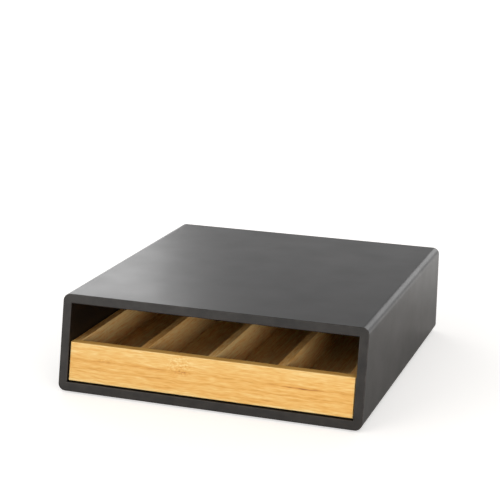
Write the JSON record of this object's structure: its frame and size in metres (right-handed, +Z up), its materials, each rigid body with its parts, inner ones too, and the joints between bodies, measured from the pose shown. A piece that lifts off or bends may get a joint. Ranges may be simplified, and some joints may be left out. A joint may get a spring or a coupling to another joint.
{
  "type": "coffee pod drawer",
  "caption": "Low black lacquered case with a backward-sloping open front and rounded corners, with a bamboo drawer in long compartments that slides out under its flat top.",
  "frame": {"origin": "centre of the footprint at the underside of the feet", "axes": "+Z up, the open front and the drawer face -Y, +X to the right seen from the front"},
  "size_m": [0.31, 0.3298, 0.0965],
  "materials": {
    "black_lacquered_board": "satin black lacquer over fibreboard",
    "black_back_panel": "matt black hardboard",
    "plywood": "raw plywood, glued in",
    "steel_pins": "bright panel pins",
    "rubber_feet": "matt rubber",
    "nylon_glide": "smooth nylon tape",
    "felt_bumper": "pressed felt",
    "bamboo_front": "light bamboo, clear satin lacquer",
    "bamboo_walls": "light bamboo, clear satin lacquer",
    "bamboo_ply_floor": "thin bamboo ply, clear lacquer",
    "beech_dowels": "raw beech, glued in"
  },
  "bodies": {
    "case": {"case_top": "black_lacquered_board", "case_bottom": "black_lacquered_board", "case_left_side": "black_lacquered_board", "case_right_side": "black_lacquered_board", "mitre_spline_top_left": "plywood", "mitre_spline_top_right": "plywood", "mitre_spline_bottom_left": "plywood", "mitre_spline_bottom_right": "plywood", "back_panel": "black_back_panel", "back_panel_pins": "steel_pins", "foot_front_left": "rubber_feet", "foot_front_right": "rubber_feet", "foot_rear_left": "rubber_feet", "foot_rear_right": "rubber_feet", "glide_strip_left": "nylon_glide", "glide_strip_right": "nylon_glide", "rear_bumper_left": "felt_bumper", "rear_bumper_right": "felt_bumper"},
    "drawer": {"drawer_front": "bamboo_front", "drawer_left_wall": "bamboo_walls", "drawer_right_wall": "bamboo_walls", "drawer_rear_wall": "bamboo_walls", "drawer_floor": "bamboo_ply_floor", "divider_left": "bamboo_walls", "divider_centre": "bamboo_walls", "divider_right": "bamboo_walls", "front_dowels": "beech_dowels", "rear_corner_dowels": "beech_dowels", "rear_divider_dowels": "beech_dowels"}
  },
  "joints": [
    {"name": "drawer_slide", "type": "slide", "parent": "case", "child": "drawer", "axis": [0, -1, 0], "range_m": [0, 0.28]}
  ]
}
